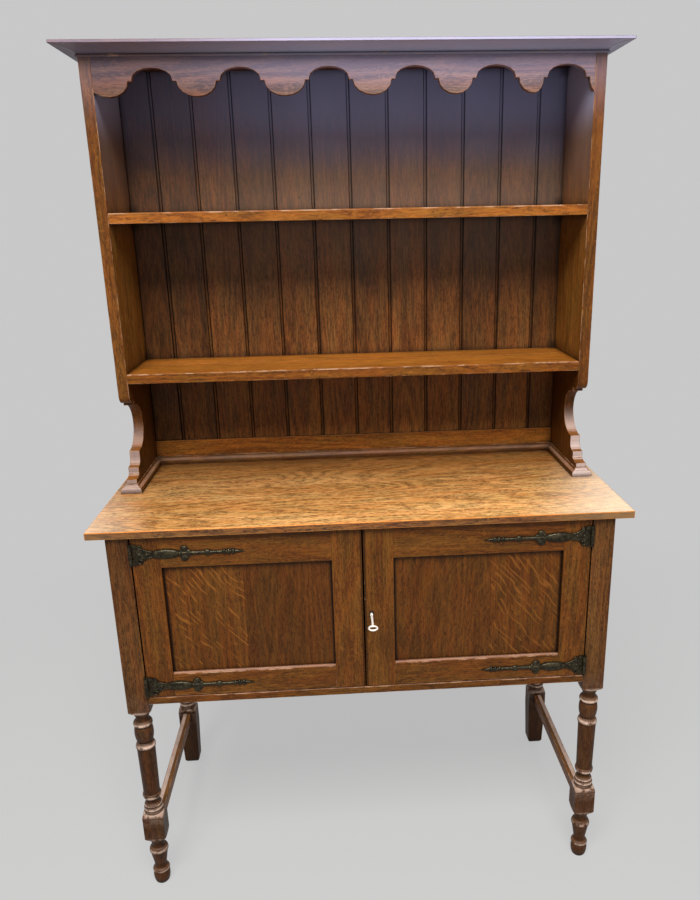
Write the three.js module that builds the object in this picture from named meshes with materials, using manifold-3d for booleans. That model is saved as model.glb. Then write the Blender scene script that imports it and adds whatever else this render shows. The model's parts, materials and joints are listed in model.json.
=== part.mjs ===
// Welsh dresser in oak: an open plate rack with a beaded board back, standing on a
// two-door cupboard carried by four turned legs. Millimetres, X right, Y back, Z up.
// Inside the model Y runs back from the front edge of the countertop.
import * as THREE from 'three';
import { mergeVertices } from 'three/addons/utils/BufferGeometryUtils.js';
import Module from 'manifold-3d';

const wasm = await Module();
wasm.setup();

// Shared clearances, and the extra length that carries every cut past its faces
const slip = 0.3;
const mergeTolerance = 0.0003;
const overrun = 2;

// Countertop
const counterWidth = 1140;
const counterDepth = 520;
const counterThickness = 16;
const counterHeight = 915;
const counterOverFront = 12;
const counterOverBack = 8;
const counterOverSide = 36;

// Legs: a square post above, a turned length and a square block. The front blocks stand
// on turned feet, the back blocks reach the floor.
const postWidth = 48;
const postBottom = 474;
const blockTop = 203;
const blockBottom = 131;
const backBlockTop = 178;
const pommelRise = 9;
const coreShare = 0.88;
const footEndShare = 0.5;
const legSegments = 16;

// Turned forms from the bottom up: form, height as a share of the turned length, and
// radius as a share of half the post's width
const footShares = [
  ['ring', 0.06, 0.73, 0.76], ['taper', 0.13, 0.78, 0.78], ['ring', 0.12, 0.83, 0.6],
  ['neck', 0.14, 0.5, 0.54], ['taper', 0.29, 0.66, 0.66], ['ring', 0.12, 0.86, 0.62],
  ['neck', 0.08, 0.58, 0.7], ['flare', 0.06, 0.88, 0.88],
];
const shaftShares = [
  ['flare', 0.026, 0.72, 0.72], ['ring', 0.038, 0.9, 0.7], ['ring', 0.03, 0.82, 0.66],
  ['neck', 0.046, 0.56, 0.66], ['ring', 0.054, 0.87, 0.77], ['taper', 0.456, 0.85, 0.85],
  ['ring', 0.056, 0.9, 0.64], ['swell', 0.154, 0.85, 0.7], ['ring', 0.052, 0.89, 0.66],
  ['neck', 0.05, 0.6, 0.7], ['flare', 0.038, 0.88, 0.88],
];

// Side stretchers, between the blocks
const stretcherWidth = 20;
const stretcherHeight = 28;

// Cupboard carcase
const endPanelThickness = 16;
const endPanelInset = 8;
const backPanelThickness = 12;
const backPanelInset = 6;
const panelDrop = 10;
const bottomBoardTop = 518;
const bottomBoardThickness = 17;
const topRailHeight = 30;
const topRailThickness = 20;

// Doors, set in flush with the posts
const doorThickness = 20;
const hingeGap = 2.5;
const meetingGap = 4;
const meetingOffset = -6;
const doorTopGap = 3;
const doorBottomGap = 2;
const hingeStileWidth = 58;
const lockStileWidth = 63;
const doorTopRailWidth = 69;
const doorBottomRailWidth = 57;
const doorPanelThickness = 8;
const doorPanelRecess = 9;
const panelGroove = 7;
const railChamfer = 3;
const stopGap = 1;

// Strap hinges
const hingeFromDoorTop = 37;
const hingeFromDoorBottom = 27;
const barrelRadius = 4;
const barrelLength = 46;
const middleKnuckleLength = 18;
const pinRadius = 1.8;
const leafThickness = 1.2;
const leafReach = 17;
const strapThickness = 2.4;
const strapLength = 234;
const fanHeight = 46;
const fanLength = 36;
const fanWaistShare = 0.34;
const knobRadius = 4.5;
const ovalLength = 60;
const ovalHeight = 22;
const ovalRelief = 2.6;
const ovalRim = 2.5;
const trefoilHeight = 34;
const trefoilLength = 24;
const barHeightAtTrefoil = 9;
const barHeightAtTip = 6;
const beadLength = 10;
const beadHeight = 12.5;
const bulbLength = 16;
const pointLength = 16;
const strapRelief = 1.2;
const beadPlaceShares = [0.672, 0.82, 0.86];
const ironSegments = 12;

// Lock, its bolt and key, in the right-hand door's meeting stile
const keyholeFromDoorEdge = 14;
const keyholeHeight = 697;
const keyholeRadius = 4.6;
const keySlotWidth = 3.2;
const keySlotDrop = 11;
const lockCaseLength = 38;
const lockCaseThickness = 10;
const lockWall = 1.6;
const lockFromDoorBack = 1;
const lockRunning = 0.6;
const bitReach = 9;
const bitWidth = 4;
const bitThickness = 2;
const shankRadius = 2.5;
const keyReach = 62;
const collarRadius = 3.2;
const collarLength = 4;
const bowRadius = 9;
const bowBarRadius = 1.9;
const lockBoltHeight = 9;
const lockBoltThickness = 4.5;
const lockBoltLength = 26;
const lockBoltThrow = 9;

// Small bolt inside the left-hand door, shot up into the top rail
const doorBoltRadius = 2.8;
const doorBoltLength = 62;
const doorBoltThrow = 10;
const doorBoltFromEdge = 26;
const doorBoltRunning = 0.5;
const boltPlateWidth = 22;
const boltPlateLength = 46;
const boltPlateThickness = 1.6;
const boltPlateDrop = 4;
const stapleWall = 2;
const stapleLength = 8;
const boltKnobRadius = 2.4;
const boltKnobReach = 7;
const doorBoltStandoff = 2;
const doorBoltDrop = 1;

// Plate rack
const rackInset = 28;
const rackFromBack = 12;
const rackSideDepth = 234;
const rackSideThickness = 24;
const rackHeight = 935;
const rackBackInset = 12;
const lowerShelfRise = 272;
const upperShelfRise = 346;
const shelfThickness = 22;
const plateGrooveFromBack = 88;
const plateGrooveWidth = 7;
const plateGrooveDepth = 2.5;
const shelfArris = 1.5;
const topBoardThickness = 12;

// Scrolled foot of each rack side
const scrollReach = 62;
const scrollRiseShare = 0.22;
const scrollCentreBack = 38;
const scrollCentreShare = 0.444;
const scrollNibBack = 3;
const frontEndDrop = 25;
const frontEndRound = 20;
const nibStep = 10;
const footReach = 20;
const footToeHeight = 30;
const footNibShares = { faceEnd: 0.8, coveEnd: 0.61, ledgeEnd: 0.46 };
const footReachShares = { coveEnd: 0.38, ledge: 0.46, secondCoveEnd: 0.92 };

// Beaded boards of the rack's back
const boardPitch = 90;
const boardThickness = 12;
const boardBeadRadius = 3.2;
const boardQuirkWidth = 1.6;
const boardTongue = 4;
const backRailHeight = 60;
const backRailThickness = 16;
const backRailProud = 4;

// Moulding round the foot of the rack
const footMouldHeight = 20;
const footMouldReach = 12;
const footMouldFilletShare = 0.28;
const ogeeHighShare = 0.8;
const ogeeInShare = 0.2;
const ogeeLowShare = 0.5;

// Scalloped valance
const valanceThickness = 16;
const valancePendantDrop = 93;
const valanceNibDrop = 64;
const valanceArchRise = 25;
const valanceStart = 30;
const valanceEndRun = 7;
const archWidth = 82;
const valanceNib = 8;
const valanceNibRise = 3;
const archShares = [0.176, 0.176, 0.182, 0.17, 0.164, 0.132];

// Cornice
const corniceHeight = 24;
const corniceReach = 43;
const corniceBeadHeight = 5.5;
const corniceFilletHeight = 6;
const corniceRise = 5;
const coveStep = 2.5;
const covePullShare = 0.36;
const mitreGap = 0.15;
const curveSteps = 8;

// Places worked out from the sizes above
const postOut = counterWidth / 2 - counterOverSide;
const postIn = postOut - postWidth;
const frontPlane = counterOverFront;
const backPlane = counterDepth - counterOverBack;
const counterUnder = counterHeight - counterThickness;
const doorBack = frontPlane + doorThickness;
const doorTop = counterUnder - doorTopGap;
const doorBottom = bottomBoardTop + doorBottomGap;
const rackOut = counterWidth / 2 - rackInset;
const rackIn = rackOut - rackSideThickness;
const rackBack = counterDepth - rackFromBack;
const rackFront = rackBack - rackSideDepth;
const rackSideTop = counterHeight + rackHeight;
const lowerShelfTop = counterHeight + lowerShelfRise;
const upperShelfTop = lowerShelfTop + upperShelfRise;
const scrollHeight = lowerShelfRise - shelfThickness;
const scrollRise = scrollHeight * scrollRiseShare;
const boardCount = 2 * Math.round(rackIn / boardPitch);
const boardFront = rackBack - rackBackInset - boardThickness;
const hingeAxisFront = frontPlane - barrelRadius - slip;
const keyAxisX = meetingOffset + meetingGap / 2 + keyholeFromDoorEdge;
const frontReach = frontPlane - keyReach - bowRadius - bowBarRadius;
const originBack = (counterDepth + frontReach) / 2;

// Materials
function finish(color, roughness, metalness) {
  return new THREE.MeshStandardMaterial({ color, roughness, metalness });
}
const oak = finish('#7a4a24', 0.5, 0);
const topOak = finish('#a06a35', 0.42, 0);
const panelOak = finish('#8a5528', 0.5, 0);
const boardOak = finish('#5d3618', 0.6, 0);
const iron = finish('#2c251f', 0.5, 0.8);
const steel = finish('#b9b7b0', 0.35, 0.9);

const dresser = new THREE.Group();
dresser.position.y = -originBack;

function place(name, geometry, material) {
  const mesh = new THREE.Mesh(geometry, material);
  mesh.name = name;
  dresser.add(mesh);
  return mesh;
}

// Solids and booleans
function solidOf(geometry) {
  const bare = geometry.clone();
  bare.deleteAttribute('normal');
  bare.deleteAttribute('uv');
  const merged = mergeVertices(bare, mergeTolerance);
  return new wasm.Manifold(new wasm.Mesh({
    numProp: 3,
    vertProperties: new Float32Array(merged.attributes.position.array),
    triVerts: new Uint32Array(merged.index.array),
  }));
}

function geometryOf(solid) {
  const mesh = solid.getMesh();
  const geometry = new THREE.BufferGeometry();
  geometry.setAttribute('position', new THREE.BufferAttribute(mesh.vertProperties, mesh.numProp));
  geometry.setIndex(new THREE.BufferAttribute(mesh.triVerts, 1));
  geometry.computeVertexNormals();
  return geometry;
}

function join(...geometries) {
  return geometryOf(geometries.map(solidOf).reduce((all, next) => all.add(next)));
}

function cut(geometry, ...cutters) {
  return geometryOf(cutters.map(solidOf).reduce((left, next) => left.subtract(next), solidOf(geometry)));
}

function common(first, second) {
  return geometryOf(solidOf(first).intersect(solidOf(second)));
}

// A box from its lower and upper limits on each axis
function block(xLow, xHigh, yLow, yHigh, zLow, zHigh) {
  const geometry = new THREE.BoxGeometry(xHigh - xLow, yHigh - yLow, zHigh - zLow);
  return geometry.translate((xLow + xHigh) / 2, (yLow + yHigh) / 2, (zLow + zHigh) / 2);
}

// The same box mirrored to the right-hand side when side is 1
function sideBlock(side, xNear, xFar, yLow, yHigh, zLow, zHigh) {
  const ends = [side * xNear, side * xFar].sort((a, b) => a - b);
  return block(ends[0], ends[1], yLow, yHigh, zLow, zHigh);
}

function extrude(points, depth) {
  const shape = new THREE.Shape(points.map(([a, b]) => new THREE.Vector2(a, b)));
  return new THREE.ExtrudeGeometry(shape, { depth, bevelEnabled: false });
}

const xAxis = new THREE.Vector3(1, 0, 0);
const yAxis = new THREE.Vector3(0, 1, 0);
const zAxis = new THREE.Vector3(0, 0, 1);

// Outline in (Y, Z), carried along X
function alongX(points, xLow, xHigh) {
  const turn = new THREE.Matrix4().makeBasis(yAxis, zAxis, xAxis);
  return extrude(points, xHigh - xLow).applyMatrix4(turn).translate(xLow, 0, 0);
}

// Outline in (X, Z), carried along Y
function alongY(points, yLow, yHigh) {
  const turn = new THREE.Matrix4().makeBasis(xAxis, zAxis, yAxis.clone().negate());
  return extrude(points, yHigh - yLow).applyMatrix4(turn).translate(0, yHigh, 0);
}

// Outline in (X, Y), carried along Z
function alongZ(points, zLow, zHigh) {
  return extrude(points, zHigh - zLow).translate(0, 0, zLow);
}

// Turned solid about an upright axis, from [radius, height] points with both ends on the axis
function turned(points, segments, x, y) {
  const profile = points.map(([radius, height]) => new THREE.Vector2(radius, height));
  const geometry = new THREE.LatheGeometry(profile, segments);
  return geometry.rotateX(Math.PI / 2).translate(x, y, 0);
}

function cylinderAlongZ(radius, x, y, zLow, zHigh, segments = ironSegments) {
  const geometry = new THREE.CylinderGeometry(radius, radius, zHigh - zLow, segments);
  return geometry.rotateX(Math.PI / 2).translate(x, y, (zLow + zHigh) / 2);
}

function cylinderAlongY(radius, x, z, yLow, yHigh, segments = ironSegments) {
  const geometry = new THREE.CylinderGeometry(radius, radius, yHigh - yLow, segments);
  return geometry.translate(x, (yLow + yHigh) / 2, z);
}

// Points of an arc, both ends included, angles in degrees
function arc(centreA, centreB, radiusA, radiusB, from, to, steps) {
  return Array.from({ length: steps + 1 }, (unused, step) => {
    const angle = THREE.MathUtils.degToRad(from + (to - from) * step / steps);
    return [centreA + radiusA * Math.cos(angle), centreB + radiusB * Math.sin(angle)];
  });
}

// Turned profile from a table of forms; each form starts at the radius where the last ended
function turnedProfile(shares, bottom, top, startRadius) {
  const reach = postWidth / 2;
  const points = [[startRadius, bottom]];
  let height = bottom;
  for (const [form, heightShare, midShare, endShare] of shares) {
    const rise = heightShare * (top - bottom);
    const start = points.at(-1)[0];
    const middle = midShare * reach;
    const end = endShare * reach;
    const steps = { ring: 3, swell: 5, neck: 3, flare: 2, taper: 1 }[form];
    for (let step = 1; step <= steps; step += 1) {
      const part = step / steps;
      const straight = start + (end - start) * part;
      const hump = Math.sin(Math.PI * part);
      const bent = start + (end - start) * part * part;
      const radius = { taper: straight, flare: bent }[form]
        ?? straight + (middle - (start + end) / 2) * Math.sqrt(hump);
      points.push([radius, height + rise * part]);
    }
    height += rise;
  }
  return points;
}

// A square length whose ends are turned down to round shoulders
function pommel(x, y, bottom, top, bottomTurned, topTurned) {
  const half = postWidth / 2;
  const corner = half * Math.SQRT2 + overrun;
  const core = half * coreShare;
  const lowEnd = bottomTurned ? [[0, bottom], [core, bottom], [corner, bottom + pommelRise]]
    : [[0, bottom], [corner, bottom]];
  const highEnd = topTurned ? [[corner, top - pommelRise], [core, top], [0, top]]
    : [[corner, top], [0, top]];
  const square = block(x - half, x + half, y - half, y + half, bottom, top);
  return common(square, turned([...lowEnd, ...highEnd], 2 * legSegments, x, y));
}

// One leg: what stands under the turned length, and the square block between the two
function leg(x, y, foot, squareBottom, squareTop) {
  const core = postWidth / 2 * coreShare;
  const shaft = turnedProfile(shaftShares, squareTop, postBottom, core);
  const inPost = postBottom + pommelRise;
  const spindle = turned([...foot, ...shaft, [core, inPost], [0, inPost]], legSegments, x, y);
  return join(
    spindle,
    pommel(x, y, squareBottom, squareTop, true, true),
    pommel(x, y, postBottom, counterUnder, true, false),
  );
}

// Legs and stretchers
function makeLegs() {
  const across = postOut - postWidth / 2;
  const frontLine = frontPlane + postWidth / 2;
  const backLine = backPlane - postWidth / 2;
  const stretcherMiddle = (backBlockTop + blockBottom) / 2;
  const footEnd = postWidth / 2 * footEndShare;
  const frontFoot = [[0, 0], ...turnedProfile(footShares, 0, blockBottom, footEnd)];
  const backFoot = [[0, backBlockTop / 2], [footEnd, backBlockTop / 2]];
  for (const [side, label] of [[-1, 'left'], [1, 'right']]) {
    const x = side * across;
    place(`front_leg_${label}`, leg(x, frontLine, frontFoot, blockBottom, blockTop), oak);
    place(`back_leg_${label}`, leg(x, backLine, backFoot, 0, backBlockTop), oak);
    place(`side_stretcher_${label}`, block(
      x - stretcherWidth / 2, x + stretcherWidth / 2,
      frontPlane + postWidth, backPlane - postWidth,
      stretcherMiddle - stretcherHeight / 2, stretcherMiddle + stretcherHeight / 2,
    ), oak);
  }
}

// Cupboard carcase
function makeCarcase() {
  const panelLow = postBottom + panelDrop;
  const endOut = postOut - endPanelInset;
  const endIn = endOut - endPanelThickness;
  const frontBehindPost = frontPlane + postWidth;
  const backBeforePost = backPlane - postWidth;
  const backFace = backPlane - backPanelInset - backPanelThickness;
  for (const [side, label] of [[-1, 'left'], [1, 'right']]) {
    place(`end_panel_${label}`, sideBlock(
      side, endIn, endOut, frontBehindPost, backBeforePost, panelLow, counterUnder,
    ), oak);
  }
  place('back_panel', block(
    -postIn, postIn, backFace, backFace + backPanelThickness, panelLow, counterUnder,
  ), boardOak);
  const half = [
    [postIn, frontPlane], [postIn, frontBehindPost], [endIn, frontBehindPost],
    [endIn, backBeforePost], [postIn, backBeforePost], [postIn, backFace],
  ];
  const mirrored = half.map(([x, y]) => [-x, y]).reverse();
  place('bottom_board', alongZ(
    [...half, ...mirrored], bottomBoardTop - bottomBoardThickness, bottomBoardTop,
  ), oak);
  const railFront = doorBack + stopGap;
  const boltX = doorBoltX();
  const rail = block(
    -postIn, postIn, railFront, railFront + topRailThickness, counterUnder - topRailHeight, counterUnder,
  );
  const boltHole = cylinderAlongZ(
    doorBoltRadius + doorBoltRunning, boltX, doorBoltY(),
    counterUnder - topRailHeight - overrun, doorBoltRestTop() + doorBoltThrow + overrun,
  );
  place('top_rail', cut(rail, boltHole), oak);
  const countertop = block(
    -counterWidth / 2, counterWidth / 2, 0, counterDepth, counterUnder, counterHeight,
  );
  place('countertop', countertop, topOak);
}

// Doors: side is -1 for the left door and 1 for the right
function doorEdges(side) {
  const hingeEdge = side * (postIn - hingeGap);
  const meetingEdge = meetingOffset + side * meetingGap / 2;
  return { hingeEdge, meetingEdge };
}

function span(first, second) {
  return [Math.min(first, second), Math.max(first, second)];
}

function makeDoor(side, label) {
  const { hingeEdge, meetingEdge } = doorEdges(side);
  const hingeInner = hingeEdge - side * hingeStileWidth;
  const lockInner = meetingEdge + side * lockStileWidth;
  const [panelLow, panelHigh] = [doorBottom + doorBottomRailWidth, doorTop - doorTopRailWidth];
  const [panelLeft, panelRight] = span(hingeInner, lockInner);
  const panelFront = frontPlane + doorPanelRecess;
  const panelBack = panelFront + doorPanelThickness;
  const groove = block(
    panelLeft - panelGroove, panelRight + panelGroove, panelFront - slip, panelBack + slip,
    panelLow - panelGroove, panelHigh + panelGroove,
  );
  const stile = (from, to) => block(...span(from, to), frontPlane, doorBack, doorBottom, doorTop);
  let lockStile = cut(stile(meetingEdge, lockInner), groove);
  lockStile = side > 0 ? cut(lockStile, ...lockCuts()) : cut(lockStile, strikeCut());
  place(`${label}_door_hinge_stile`, cut(stile(hingeEdge, hingeInner), groove), oak);
  place(`${label}_door_lock_stile`, lockStile, oak);
  const topRail = block(panelLeft, panelRight, frontPlane, doorBack, panelHigh, doorTop);
  place(`${label}_door_top_rail`, cut(topRail, groove), oak);
  const bottomRail = alongX([
    [frontPlane, doorBottom], [doorBack, doorBottom], [doorBack, panelLow],
    [frontPlane + railChamfer, panelLow], [frontPlane, panelLow - railChamfer],
  ], panelLeft, panelRight);
  place(`${label}_door_bottom_rail`, cut(bottomRail, groove), oak);
  const inGroove = panelGroove - slip;
  place(`${label}_door_panel`, block(
    panelLeft - inGroove, panelRight + inGroove, panelFront, panelBack,
    panelLow - inGroove, panelHigh + inGroove,
  ), panelOak);
}

// A point on the hinge plate: distance from the hinge axis into the door, and height
function strapPoint(side, axisX, level, [distance, height]) {
  return [axisX - side * distance, level + height];
}

// Fan against the door's edge, its two concave flanks sweeping in to the waist
function fanOutline(start, end) {
  const halfHeight = fanHeight / 2;
  const waist = halfHeight * fanWaistShare;
  const upper = arc(end, halfHeight, end - start, halfHeight - waist, 180, 270, curveSteps);
  return [...upper, ...upper.map(([a, b]) => [a, -b]).reverse()];
}

// Strap hinge: the strap turns with the door on its two outer knuckles
function strap(side, axisX, level) {
  const start = barrelRadius + strapThickness / 2;
  const fanEnd = start + fanLength;
  const ovalEnd = fanEnd + ovalLength;
  const trefoilEnd = ovalEnd + trefoilLength;
  const lobe = trefoilHeight / 4;
  const face = frontPlane - strapThickness;
  const raised = face - strapRelief;
  const at = (point) => strapPoint(side, axisX, level, point);
  const plate = (points, front = face) => alongY(points.map(at), front, frontPlane);
  const disc = (radius, distance, height, front = face) => {
    const [x, z] = at([distance, height]);
    return cylinderAlongY(radius, x, z, front, frontPlane);
  };
  const tip = strapLength - pointLength;
  const dome = (length, height, relief, distance) => {
    const [x, z] = at([distance, 0]);
    return new THREE.SphereGeometry(1, ironSegments, ironSegments / 2)
      .scale(length / 2, relief, height / 2).translate(x, frontPlane, z);
  };
  const parts = [
    plate(fanOutline(start, fanEnd + strapThickness)),
    plate(arc(fanEnd + ovalLength / 2, 0, ovalLength / 2 + strapThickness, ovalHeight / 2,
      0, 360 - 360 / ironSegments, ironSegments - 1)),
    plate([[ovalEnd, -barHeightAtTrefoil / 2], [tip, -barHeightAtTip / 2],
      [tip, barHeightAtTip / 2], [ovalEnd, barHeightAtTrefoil / 2]]),
    plate([[tip - bulbLength / 2, -barHeightAtTip / 2], [tip, -barHeightAtTip / 2], [strapLength, 0],
      [tip, barHeightAtTip / 2], [tip - bulbLength / 2, barHeightAtTip / 2]]),
    dome(bulbLength, beadHeight, strapThickness + strapRelief, tip - bulbLength / 2),
    dome(ovalLength - 2 * ovalRim, ovalHeight - 2 * ovalRim, strapThickness + ovalRelief,
      fanEnd + ovalLength / 2),
    disc(lobe, ovalEnd + lobe, trefoilHeight / 2 - lobe),
    disc(lobe, ovalEnd + lobe, lobe - trefoilHeight / 2),
    disc(lobe, trefoilEnd - lobe, 0),
  ];
  for (const sign of [-1, 1]) {
    parts.push(disc(knobRadius, start + knobRadius, sign * (fanHeight / 2 - knobRadius), raised));
    parts.push(...knuckleWithTab(side, axisX, level, sign, start));
  }
  for (const share of beadPlaceShares) {
    parts.push(dome(beadLength, beadHeight, strapThickness + strapRelief, share * strapLength));
  }
  const behind = block(
    ...span(axisX - side * (hingeGap / 2), axisX - side * (strapLength + overrun)),
    frontPlane, doorBack, level - fanHeight, level + fanHeight,
  );
  const bore = cylinderAlongZ(
    pinRadius + slip, axisX, hingeAxisFront, level - barrelLength, level + barrelLength,
  );
  return cut(join(...parts), behind, bore);
}

// An outer knuckle, and the tab that carries it over the edge of the strap
function knuckleWithTab(side, axisX, level, sign, reach) {
  const near = level + sign * (middleKnuckleLength / 2 + slip);
  const far = level + sign * barrelLength / 2;
  const tabEnds = span(axisX - side * hingeGap / 2, axisX - side * (reach + overrun));
  return [
    cylinderAlongZ(barrelRadius, axisX, hingeAxisFront, ...span(near, far)),
    block(...tabEnds, frontPlane - strapThickness, frontPlane, ...span(near, far)),
  ];
}

// The leaf screwed to the post, with the middle knuckle and the pin
function postLeaf(side, axisX, level) {
  const postFace = side * postIn;
  const half = middleKnuckleLength / 2;
  const leaf = block(
    ...span(postFace, postFace - side * leafThickness),
    hingeAxisFront, frontPlane + leafReach, level - half, level + half,
  );
  return join(
    leaf,
    cylinderAlongZ(barrelRadius, axisX, hingeAxisFront, level - half, level + half),
    cylinderAlongZ(pinRadius, axisX, hingeAxisFront, level - barrelLength / 2, level + barrelLength / 2),
  );
}

function hingeAxisX(side) {
  return side * (postIn - hingeGap / 2);
}

function makeHinges(side, label) {
  const axisX = hingeAxisX(side);
  const levels = [
    ['top', doorTop - hingeFromDoorTop], ['bottom', doorBottom + hingeFromDoorBottom],
  ];
  for (const [height, level] of levels) {
    place(`${label}_${height}_hinge_strap`, strap(side, axisX, level), iron);
    place(`${label}_${height}_hinge_leaf`, postLeaf(side, axisX, level), iron);
  }
}

// Limits of the lock case and its bolt
function lockLimits() {
  const back = doorBack - lockFromDoorBack;
  const front = back - lockCaseThickness;
  const left = meetingOffset + meetingGap / 2;
  const boltLow = keyholeHeight + bitReach + lockRunning;
  const boltHigh = boltLow + lockBoltHeight;
  return {
    left, right: left + lockCaseLength, front, back, middle: (front + back) / 2,
    low: keyholeHeight - bitReach - lockRunning - lockWall,
    high: boltHigh + lockRunning + lockWall, boltLow, boltHigh,
  };
}

// Round hole and slot for the key, cut along Y
function keyway(radius, slotWidth, yLow, yHigh) {
  return [
    cylinderAlongY(radius, keyAxisX, keyholeHeight, yLow, yHigh),
    block(keyAxisX - slotWidth / 2, keyAxisX + slotWidth / 2, yLow, yHigh,
      keyholeHeight - keySlotDrop, keyholeHeight),
  ];
}

// Pocket for the lock and the keyhole, cut in the right-hand meeting stile
function lockCuts() {
  const lock = lockLimits();
  const pocket = block(
    lock.left - overrun, lock.right + slip, lock.front - slip, doorBack + overrun,
    lock.low - slip, lock.high + slip,
  );
  return [pocket, ...keyway(keyholeRadius, keySlotWidth, frontPlane - overrun, lock.front)];
}

// Space around the bolt, from xLow to xHigh
function boltWay(xLow, xHigh) {
  const lock = lockLimits();
  const reach = lockBoltThickness / 2 + lockRunning;
  return block(xLow, xHigh, lock.middle - reach, lock.middle + reach,
    lock.boltLow - lockRunning, lock.boltHigh + lockRunning);
}

// Mortice for the bolt in the left-hand meeting stile
function strikeCut() {
  const edge = meetingOffset - meetingGap / 2;
  return boltWay(edge - lockBoltThrow, edge + overrun);
}

function makeLock() {
  const lock = lockLimits();
  const shell = block(lock.left, lock.right, lock.front, lock.back, lock.low, lock.high);
  const hollow = block(
    lock.left + lockWall, lock.right - lockWall, lock.front + lockWall, lock.back - lockWall,
    lock.low + lockWall, lock.high - lockWall,
  );
  const keyEntry = keyway(
    shankRadius + lockRunning, bitThickness + lockRunning, lock.front - overrun, lock.front + 2 * lockWall,
  );
  const boltSlot = boltWay(lock.left - overrun, lock.left + 2 * lockWall);
  place('lock_case', cut(shell, hollow, ...keyEntry, boltSlot), iron);
  const boltStart = lock.left + lockRunning;
  place('lock_bolt', block(
    boltStart, boltStart + lockBoltLength,
    lock.middle - lockBoltThickness / 2, lock.middle + lockBoltThickness / 2,
    lock.boltLow, lock.boltHigh,
  ), steel);
  place('key', makeKey(lock), steel);
}

// Key with its bow and bit level, as it stands in the unlocked door
function makeKey(lock) {
  const bowCentre = frontPlane - keyReach;
  const shank = cylinderAlongY(
    shankRadius, keyAxisX, keyholeHeight, bowCentre + bowRadius - bowBarRadius / 2, lock.back - 2 * lockWall,
  );
  const bit = block(
    keyAxisX, keyAxisX + bitReach, lock.middle - bitWidth / 2, lock.middle + bitWidth / 2,
    keyholeHeight - bitThickness / 2, keyholeHeight + bitThickness / 2,
  );
  const collar = cylinderAlongY(
    collarRadius, keyAxisX, keyholeHeight, frontPlane - slip - collarLength, frontPlane - slip,
  );
  const bow = new THREE.TorusGeometry(bowRadius, bowBarRadius, ironSegments / 2, 2 * ironSegments);
  return join(shank, bit, collar, bow.translate(keyAxisX, bowCentre, keyholeHeight));
}

// Places of the small bolt on the inside of the left-hand door
function doorBoltX() {
  return meetingOffset - meetingGap / 2 - doorBoltFromEdge;
}

function doorBoltY() {
  return doorBack + boltPlateThickness + doorBoltStandoff + doorBoltRadius;
}

function doorBoltRestTop() {
  return counterUnder - topRailHeight - doorBoltDrop;
}

function makeDoorBolt() {
  const [x, y, top] = [doorBoltX(), doorBoltY(), doorBoltRestTop()];
  const plateTop = top - boltPlateDrop;
  const plateLow = plateTop - boltPlateLength;
  const plate = block(x - boltPlateWidth / 2, x + boltPlateWidth / 2,
    doorBack, doorBack + boltPlateThickness, plateLow, plateTop);
  const bore = doorBoltRadius + doorBoltRunning;
  const wall = bore + stapleWall;
  const staple = (low) => block(x - wall, x + wall, doorBack, y + wall, low, low + stapleLength);
  const way = cylinderAlongZ(bore, x, y, plateLow - overrun, plateTop + overrun);
  place('door_bolt_plate', cut(
    join(plate, staple(plateLow), staple(plateTop - stapleLength)), way,
  ), iron);
  const knobLevel = plateLow + stapleLength + doorBoltRunning + boltKnobRadius;
  place('door_bolt', join(
    cylinderAlongZ(doorBoltRadius, x, y, top - doorBoltLength, top),
    cylinderAlongY(boltKnobRadius, x, knobLevel, y, y + doorBoltRadius + boltKnobReach),
  ), iron);
}

// Rack side: upright with a rounded front end, a C scroll, and a foot that steps forward to its toe
function rackSideOutline() {
  const frontEnd = lowerShelfTop - shelfThickness - frontEndDrop;
  const centreY = rackFront + scrollCentreBack;
  const centreZ = counterHeight + scrollHeight * (1 - scrollCentreShare);
  const turn = 90 + THREE.MathUtils.radToDeg(Math.asin(scrollNibBack / scrollReach));
  const scroll = arc(centreY, centreZ, scrollReach, scrollRise, turn, -turn, 3 * curveSteps);
  const nibY = scroll[0][0];
  const ledge = scroll[0][1] + nibStep;
  return [
    [rackBack, counterHeight], [rackBack, rackSideTop], [rackFront, rackSideTop],
    ...arc(rackFront + frontEndRound, frontEnd, frontEndRound, frontEnd - ledge, 180, 270, curveSteps),
    [nibY, ledge], ...scroll, ...footOutline(nibY, scroll.at(-1)[1]),
  ];
}

// Stepped foot: the nib's face, a cove, a ledge, a second cove and the toe
function footOutline(nibY, nibLevel) {
  const toe = rackFront - footReach;
  const toeTop = counterHeight + footToeHeight;
  const back = (share) => nibY + (toe - nibY) * share;
  const up = (share) => counterHeight + (nibLevel - counterHeight) * share;
  const firstCove = back(footReachShares.coveEnd);
  const ledgeY = back(footReachShares.ledge);
  const secondCove = back(footReachShares.secondCoveEnd);
  const faceEnd = up(footNibShares.faceEnd);
  const coveEnd = up(footNibShares.coveEnd);
  const ledgeEnd = up(footNibShares.ledgeEnd);
  return [
    ...arc(firstCove, faceEnd, nibY - firstCove, faceEnd - coveEnd, 0, -90, curveSteps / 2),
    [ledgeY, coveEnd],
    ...arc(secondCove, ledgeEnd, ledgeY - secondCove, ledgeEnd - toeTop, 0, -90, curveSteps / 2),
    [toe, toeTop], [toe, counterHeight],
  ];
}

function makeRackSides() {
  const outline = rackSideOutline();
  place('rack_side_left', alongX(outline, -rackOut, -rackIn), oak);
  place('rack_side_right', alongX(outline, rackIn, rackOut), oak);
}

// Shelf with a rounded front arris and a groove that keeps plates from sliding
function shelfOutline(top) {
  const grooveY = boardFront - plateGrooveFromBack;
  const half = plateGrooveWidth / 2;
  return [
    [rackFront, top - shelfThickness], [boardFront, top - shelfThickness], [boardFront, top],
    ...arc(grooveY, top, half, plateGrooveDepth, 0, -180, curveSteps / 2),
    [rackFront + shelfArris, top], [rackFront, top - shelfArris],
  ];
}

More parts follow.
